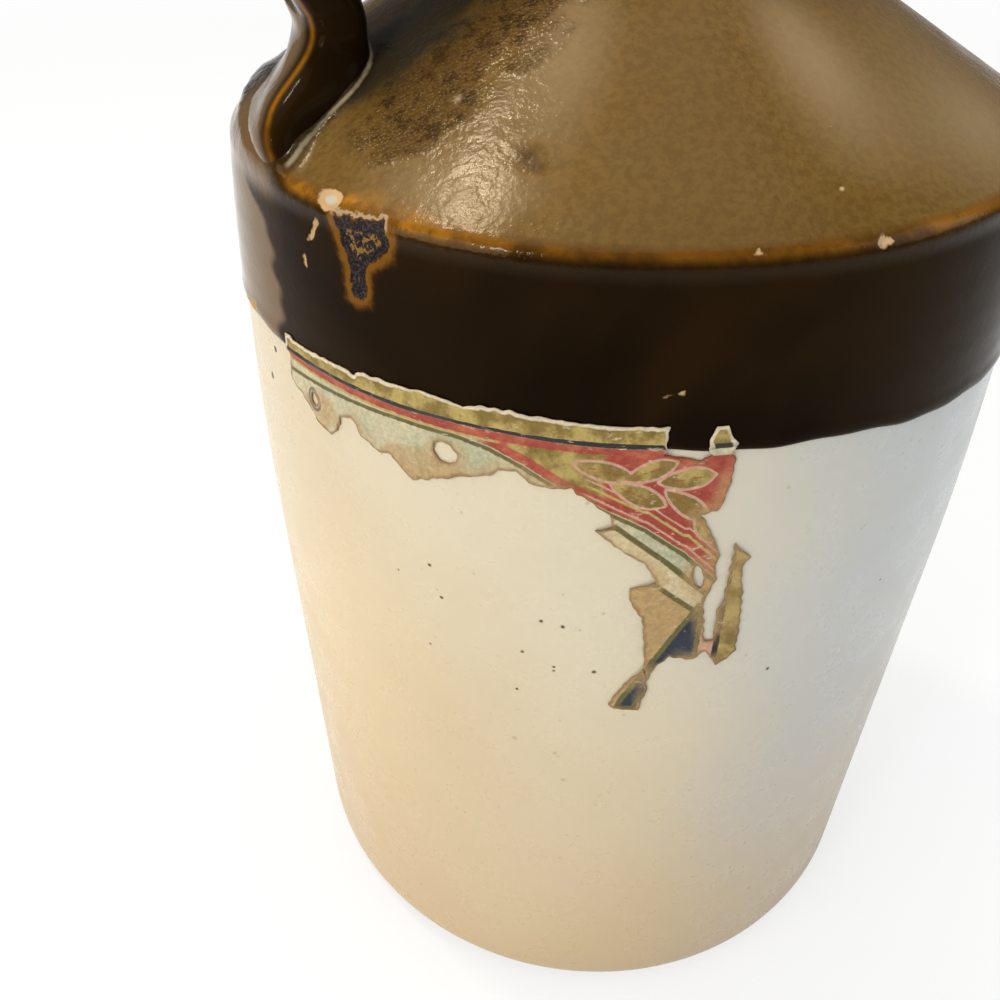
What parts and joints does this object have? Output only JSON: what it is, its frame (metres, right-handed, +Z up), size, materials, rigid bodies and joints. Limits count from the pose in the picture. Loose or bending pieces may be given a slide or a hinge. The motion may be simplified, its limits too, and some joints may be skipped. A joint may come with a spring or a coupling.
{
  "type": "stoneware jug",
  "caption": "Tall cylindrical stoneware jug with a conical shoulder, narrow collared neck, strap handle, two-colour glaze, torn paper label and cork.",
  "frame": {"origin": "middle of the base, on the surface that the jug stands on", "axes": "+Z up along the jug's own axis; the handle is on the -X side, and the label faces the front left, between -Y and -X"},
  "size_m": [0.204, 0.204, 0.352],
  "materials": {
    "bare_clay": "bare fired stoneware",
    "brown_glaze": "glossy brown slip glaze",
    "cream_glaze": "satin cream glaze",
    "liner_glaze": "glossy brown slip glaze",
    "label_paper": "aged printed paper",
    "cork_bark": "bare cork"
  },
  "bodies": {
    "jug": {"jar": "bare_clay", "shoulder_and_neck": "bare_clay", "handle": "brown_glaze", "brown_glaze_coat": "brown_glaze", "cream_glaze_coat": "cream_glaze", "liner_glaze_coat": "liner_glaze", "label_main_scrap": "label_paper", "label_lower_scrap": "label_paper"},
    "stopper": {"cork": "cork_bark"}
  },
  "joints": [
    {"name": "cork_lift", "type": "slide", "parent": "jug", "child": "stopper", "axis": [0, 0, 1], "range_m": [0, 0.06]}
  ]
}
